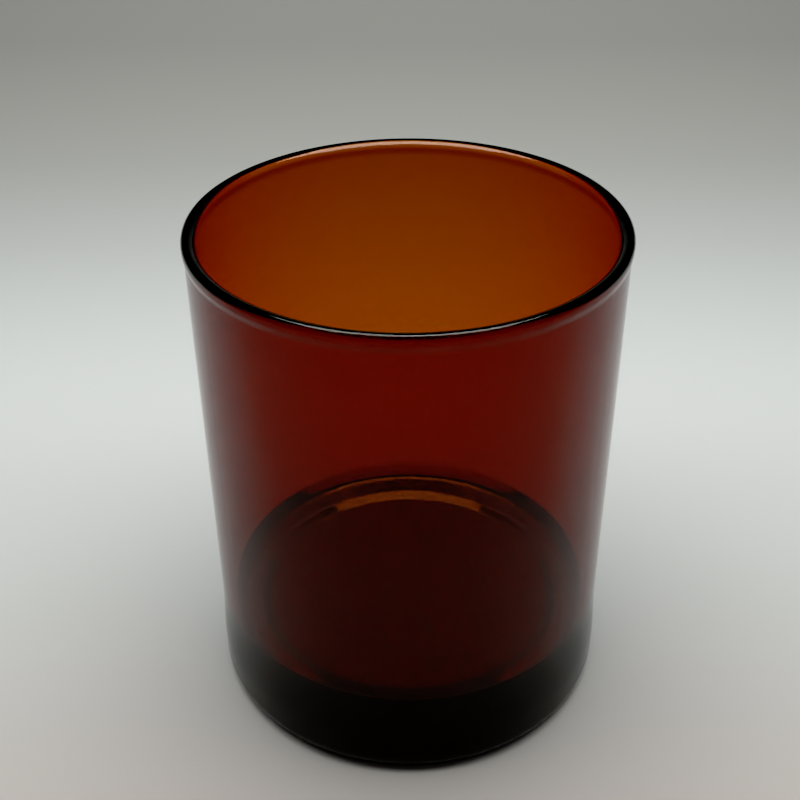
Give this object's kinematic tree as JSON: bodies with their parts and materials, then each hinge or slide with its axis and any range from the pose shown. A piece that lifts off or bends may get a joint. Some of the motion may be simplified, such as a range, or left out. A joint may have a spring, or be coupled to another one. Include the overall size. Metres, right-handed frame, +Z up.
{
  "type": "candle jar",
  "caption": "Straight-sided amber glass candle jar with a rounded rim bead, thin wall, a flat cavity floor with a low step round it and a thick heavy base.",
  "frame": {"origin": "centre of the jar's base, on the surface that it stands on", "axes": "+Z up along the jar's axis, from the base to the open rim; +X and +Y are any two square directions, because the jar is round"},
  "size_m": [0.0806, 0.0806, 0.0998],
  "materials": {
    "amber_glass": "clear amber glass, fire polished, even tint that darkens with thickness"
  },
  "bodies": {
    "root": {"glass_jar": "amber_glass"}
  },
  "joints": []
}
